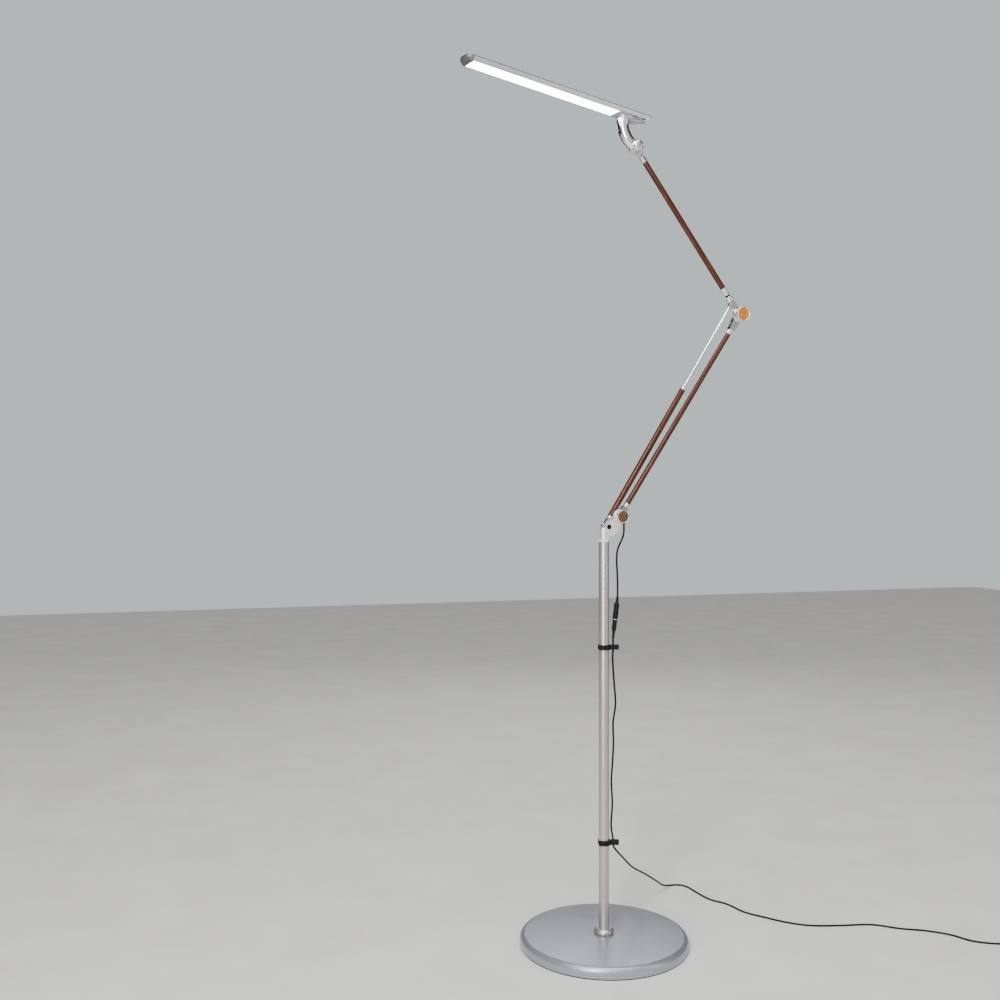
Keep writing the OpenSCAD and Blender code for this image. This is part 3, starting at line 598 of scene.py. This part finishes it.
CASTING_EDGES = {
    "bracket_casting": 0.9, "lower_arm_bottom_fork": 0.6, "lower_arm_top_fork": 0.6, "elbow_casting": 0.6,
    "upper_arm_tongue": 0.6, "strut_foot": 0.5, "strut_cap": 0.4, "strut_rod": 0.2, "neck_casting": 0.5}


def build_castings():
    for node, edge in CASTING_EDGES.items():
        refined(node, edge)


def socket_screw(name, place, radius, body):
    """Dark screw with a recessed socket; it stands on Z = 0 of its place."""
    mesh = lathe(name, [(0, -0.5), (radius, -0.5), (radius, 0.35, 0.25), (radius * 0.55, 0.35, 0.08),
                        (radius * 0.5, -0.2), (0, -0.2)], segments=32, steps=3)
    return added(name, mesh, place, "black_plastic", body)


def build_arm_details():
    """Black ring that paints the shade in the elbow's groove, and the grub screw of the upper arm's tongue."""
    width = 3
    start = FERRULE_START - width
    # Black ring between the ferrule and the elbow casting: painted shade of the groove
    groove_shade = lathe("elbow_groove_shade", [(3.75, start), (4.35, start, 0.3), (4.35, FERRULE_START, 0.3),
                                (3.75, FERRULE_START)])
    added("elbow_groove_shade", groove_shade, UPPER_ARM, "lead_rubber", "upper_arm")
    facing = Matrix.Translation((0, -2.8 * MM, 17 * MM)) @ Matrix.Rotation(pi / 2, 4, "X")
    socket_screw("tongue_screw", UPPER_ARM_END @ facing, 1.3, "upper_arm")


# ---- Neck ----

NECK_STRAIGHT = 4 * MM
NECK_R = 10 * MM


def neck_bend_path(outward, start, end, steps=24):
    """Points along the neck's bend, outward from its centre line, between two shares of its angle."""
    axis = Vector(JOINTS["head_swivel"]["axis"])
    top = NECK_TOP - NECK_STRAIGHT * axis
    chord = NECK - top
    half = chord.angle(-axis)
    radius = chord.length / (2 * sin(half))
    inward = Vector((0, 1, 0)).cross(axis)
    points = []
    for k in range(steps + 1):
        angle = 2 * half * (start + (end - start) * k / steps)
        turn = Matrix.Rotation(-angle, 3, "Y")
        points.append(top + radius * inward - turn @ inward * (radius + outward))
    return points


def build_neck():
    axis = Vector(JOINTS["head_swivel"]["axis"])
    turned("neck_collar", [(10.4, -8.5), (11.1, -8.5, 0.8), (11.3, -5.3, 0.5), (10.7, -4.9), (10.7, -4.4),
                           (11.6, -4, 0.5), (11.6, -0.6, 0.8), (10.4, -0.6)], looking(NECK_TOP, axis))
    # Black tube along the outer side of the neck's bend: painted shadow of the dark seam there
    seam_shadow = tube("neck_seam_shadow", neck_bend_path(NECK_R - 1.2 * MM, 0.3, 0.86), 1.25 * MM, sides=16)
    added("neck_seam_shadow", seam_shadow, None, "lead_rubber", "neck")


# ---- Head ----

HEAD_EDGES = {
    "head_frame": 0.5, "head_top_cover": 0.5, "head_tip_cap": 1.6, "head_belly": 0.6, "power_key": 0.3,
    "brightness_key": 0.3}


def build_head():
    for node, edge in HEAD_EDGES.items():
        refined(node, edge)
    under = HEAD @ Matrix.Translation((15 * MM, -4 * MM, 2.2 * MM)) @ Matrix.Rotation(pi, 4, "X")
    socket_screw("belly_screw", under, 1.4, "head")


# ---- Scene ----

def build_stage():
    reach = 6
    points = [(-reach, -reach, 0), (reach, -reach, 0), (reach, reach, 0), (-reach, reach, 0)]
    floor = link_object("floor", mesh_from("floor", points, [(0, 1, 2, 3)]))
    paint = new_material("floor_paint", (0.62, 0.61, 0.59), 0.0, 0.75)
    color_by(paint, noise(paint, 6, 6), (0.35, (0.60, 0.59, 0.57)), (0.65, (0.66, 0.65, 0.63)))
    floor.data.materials.append(paint)


def build_world():
    """Plain pale backdrop, with the light of a soft room that is bright on the camera's side and above."""
    world = bpy.data.worlds.new("studio")
    world.use_nodes = True
    tree = world.node_tree
    background = tree.nodes["Background"]
    background.inputs["Strength"].default_value = 1.0
    place = tree.nodes.new("ShaderNodeTexCoord")
    facing = tree.nodes.new("ShaderNodeVectorMath")
    facing.operation = "DOT_PRODUCT"
    facing.inputs[1].default_value = Vector((-0.35, -0.85, 0.4)).normalized()
    ramp = tree.nodes.new("ShaderNodeValToRGB")
    ray = tree.nodes.new("ShaderNodeLightPath")
    mix = tree.nodes.new("ShaderNodeMix")
    mix.data_type = "RGBA"
    levels = ((0.0, 0.02), (0.35, 0.05), (0.55, 0.16), (0.78, 0.75), (1.0, 1.0))
    while len(ramp.color_ramp.elements) < len(levels):
        ramp.color_ramp.elements.new(0.5)
    for element, (share, level) in zip(ramp.color_ramp.elements, levels):
        element.position = share
        element.color = (level, level, level * 1.03, 1)
    mix.inputs["B"].default_value = (0.62, 0.67, 0.68, 1)
    tree.links.new(place.outputs["Generated"], facing.inputs[0])
    tree.links.new(facing.outputs["Value"], ramp.inputs["Fac"])
    tree.links.new(ray.outputs["Is Camera Ray"], mix.inputs["Factor"])
    tree.links.new(ramp.outputs["Color"], mix.inputs["A"])
    tree.links.new(mix.outputs["Result"], background.inputs["Color"])
    bpy.context.scene.world = world


def build_lights():
    """Tall soft boxes at both sides in front, one overhead and one behind, and a soft sun for the floor."""
    target = Vector((0.1, 0, 0.8))
    for name, place, width, height, power in (
            ("key", (-1.5, -2.0, 1.6), 0.6, 2.4, 110), ("fill", (1.9, -1.7, 1.2), 0.3, 2.0, 14),
            ("top", (-0.2, -0.9, 3.0), 2.4, 1.4, 40), ("back", (0.9, 2.3, 1.9), 1.2, 1.2, 16)):
        light = bpy.data.lights.new(name, "AREA")
        light.shape = "RECTANGLE"
        light.size, light.size_y = width, height
        light.energy = power
        place = Vector(place)
        view = (target - place).to_track_quat("-Z", "Y").to_matrix().to_4x4()
        link_object(name, light, Matrix.Translation(place) @ view)
    daylight = bpy.data.lights.new("daylight", "SUN")
    daylight.angle = radians(70)
    daylight.energy = 1.2
    view = Vector((0.3, 0.5, -1.4)).to_track_quat("-Z", "Y").to_matrix().to_4x4()
    link_object("daylight", daylight, view)


def build_camera():
    """Level camera that looks at the lamp as the photograph does."""
    camera = bpy.data.cameras.new("camera")
    camera.lens = 39.6
    camera.sensor_width = 36
    camera.clip_start = 0.05
    aside, away, height = -0.173, -1.833, 0.741
    across = Vector((cos(ARMS_YAW), -sin(ARMS_YAW), 0))
    view = Vector((sin(ARMS_YAW), cos(ARMS_YAW), 0))
    place = across * aside + view * away + Vector((0, 0, height))
    obj = link_object("camera", camera)
    obj.matrix_world = Matrix.Translation(place) @ (-view).to_track_quat("Z", "Y").to_matrix().to_4x4()
    bpy.context.scene.camera = obj


def dress_frame():
    """Gives every CAD node the material of its slot."""
    for name, node in frame["nodes"].items():
        node.data.materials.clear()
        node.data.materials.append(MATERIALS[SLOT_OF[name]])


build_camera()
build_stage()
build_world()
build_lights()
dress_frame()
build_base()
build_pole()
build_leads()
build_tubes()
build_knobs()
build_castings()
build_arm_details()
build_neck()
build_head()
